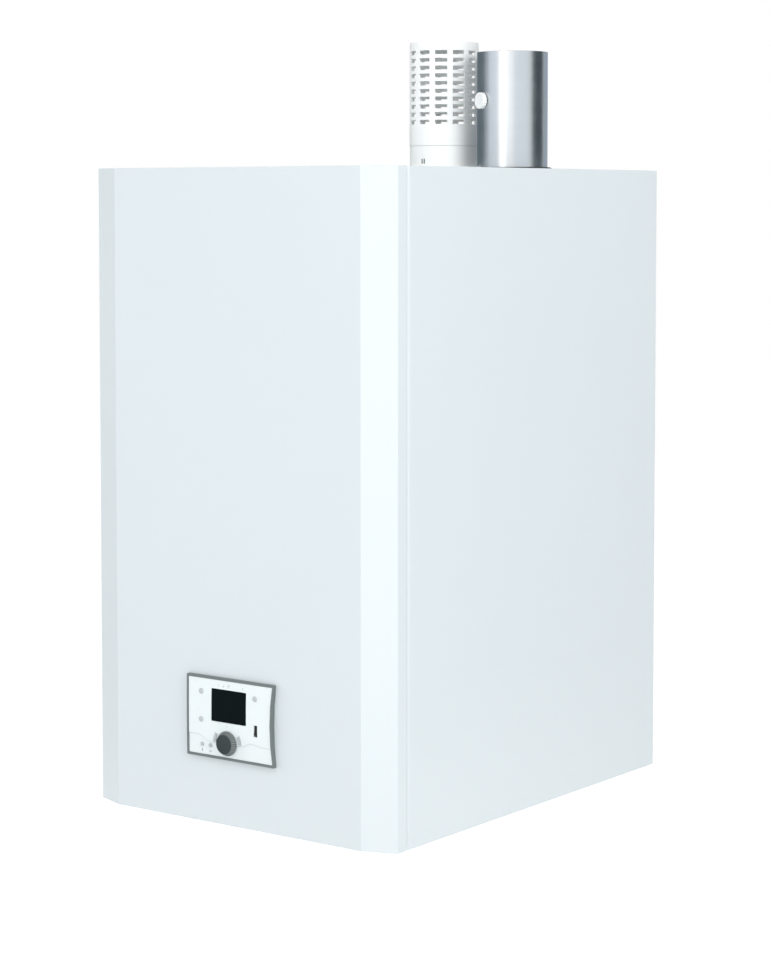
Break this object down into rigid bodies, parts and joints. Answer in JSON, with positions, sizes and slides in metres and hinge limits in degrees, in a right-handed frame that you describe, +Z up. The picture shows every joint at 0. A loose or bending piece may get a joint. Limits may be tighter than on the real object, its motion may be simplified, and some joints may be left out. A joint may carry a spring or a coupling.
{
  "type": "condensing boiler",
  "caption": "Wall-hung condensing boiler: white casing with bevelled lift-off cover, control panel with knob and display, slatted air terminal, open flue outlet.",
  "frame": {"origin": "middle of the wall rail's back face, which lies on the wall", "axes": "+X to the right as one faces the boiler, +Y back to the wall, +Z up"},
  "size_m": [0.508, 0.665, 1.094],
  "materials": {
    "white_paint": "white powder coat on sheet steel, fine texture",
    "white_plastic": "white moulded plastic",
    "grey_plastic": "grey moulded plastic, fine grain",
    "knob_plastic": "near-black moulded plastic",
    "button_grey": "light grey soft-touch plastic",
    "black_plastic": "black moulded plastic",
    "dark_glass": "dark polished display window",
    "stainless_steel": "drawn and polished stainless steel",
    "galvanised_steel": "zinc-coated sheet steel, spangled",
    "cast_aluminium": "as cast, sand texture",
    "copper": "drawn copper tube, lightly dulled",
    "brass": "turned brass",
    "black_rubber": "black sealing rubber",
    "circuit_board": "green solder resist",
    "ceramic": "glazed white ceramic"
  },
  "bodies": {
    "casing": {"left_side_panel": "white_paint", "right_side_panel": "white_paint", "top_panel": "white_paint", "bottom_panel": "white_paint", "air_seal": "black_rubber", "flue_seal": "black_rubber", "cover_clip_upper_left": "black_plastic", "cover_clip_upper_right": "black_plastic", "cover_clip_lower_left": "black_plastic", "cover_clip_lower_right": "black_plastic", "fan_motor": "black_plastic", "condensate_sump": "black_plastic", "cable_gland": "black_plastic", "back_panel": "galvanised_steel", "wall_rail": "galvanised_steel", "hanger_hook": "galvanised_steel", "block_stand": "galvanised_steel", "control_tray": "galvanised_steel", "air_collar": "white_plastic", "air_grille": "white_plastic", "sampling_port": "white_plastic", "condensate_trap": "white_plastic", "flue_outlet": "stainless_steel", "flue_riser": "stainless_steel", "burner": "stainless_steel", "control_board": "circuit_board", "heat_exchanger": "cast_aluminium", "burner_hood": "cast_aluminium", "fan_housing": "cast_aluminium", "venturi": "cast_aluminium", "gas_valve": "cast_aluminium", "inlet_elbow": "cast_aluminium", "ignition_electrode": "ceramic", "flow_pipe": "copper", "return_pipe": "copper", "gas_pipe": "copper", "air_vent": "brass"},
    "cover": {"front_cover": "white_paint", "cover_seal": "black_rubber", "panel_bezel": "grey_plastic", "panel_fascia": "white_plastic", "display_window": "dark_glass", "control_unit_housing": "black_plastic", "control_unit_board": "circuit_board", "knob_encoder": "galvanised_steel", "switch_body": "black_plastic"},
    "selector_knob": {"selector_knob": "knob_plastic"},
    "power_switch": {"power_switch": "black_plastic"},
    "fan_impeller": {"fan_impeller": "black_plastic"},
    "sampling_cap": {"sampling_cap": "white_plastic"},
    "button_upper_left": {"button_upper_left": "button_grey"},
    "button_lower_left": {"button_lower_left": "button_grey"},
    "button_right": {"button_right": "button_grey"},
    "button_left_crescent": {"button_left_crescent": "button_grey"},
    "button_right_crescent": {"button_right_crescent": "button_grey"},
    "button_small_left": {"button_small_left": "button_grey"},
    "button_small_right": {"button_small_right": "button_grey"}
  },
  "joints": [
    {"name": "cover_lift_off", "type": "slide", "parent": "casing", "child": "cover", "axis": [0, -1, 0], "range_m": [0, 0.3]},
    {"name": "knob_turn", "type": "hinge", "parent": "cover", "child": "selector_knob", "pos_m": [-0.0084, -0.652, -0.6788], "axis": [0, 1, 0], "continuous": true},
    {"name": "switch_rock", "type": "hinge", "parent": "cover", "child": "power_switch", "pos_m": [0.04, -0.65, -0.6564], "axis": [1, 0, 0], "range_deg": [0, 14]},
    {"name": "fan_spin", "type": "hinge", "parent": "casing", "child": "fan_impeller", "pos_m": [-0.05, -0.575, -0.29], "axis": [1, 0, 0], "continuous": true},
    {"name": "cap_pull", "type": "slide", "parent": "casing", "child": "sampling_cap", "axis": [-0.3827, -0.9239, 0], "range_m": [0, 0.03]},
    {"name": "button_upper_left_press", "type": "slide", "parent": "cover", "child": "button_upper_left", "axis": [0, 1, 0], "range_m": [0, 0.0012], "stiffness_N_per_m": 800},
    {"name": "button_lower_left_press", "type": "slide", "parent": "cover", "child": "button_lower_left", "axis": [0, 1, 0], "range_m": [0, 0.0012], "stiffness_N_per_m": 800},
    {"name": "button_right_press", "type": "slide", "parent": "cover", "child": "button_right", "axis": [0, 1, 0], "range_m": [0, 0.0012], "stiffness_N_per_m": 800},
    {"name": "button_left_crescent_press", "type": "slide", "parent": "cover", "child": "button_left_crescent", "axis": [0, 1, 0], "range_m": [0, 0.0012], "stiffness_N_per_m": 800},
    {"name": "button_right_crescent_press", "type": "slide", "parent": "cover", "child": "button_right_crescent", "axis": [0, 1, 0], "range_m": [0, 0.0012], "stiffness_N_per_m": 800},
    {"name": "button_small_left_press", "type": "slide", "parent": "cover", "child": "button_small_left", "axis": [0, 1, 0], "range_m": [0, 0.0012], "stiffness_N_per_m": 800},
    {"name": "button_small_right_press", "type": "slide", "parent": "cover", "child": "button_small_right", "axis": [0, 1, 0], "range_m": [0, 0.0012], "stiffness_N_per_m": 800}
  ]
}
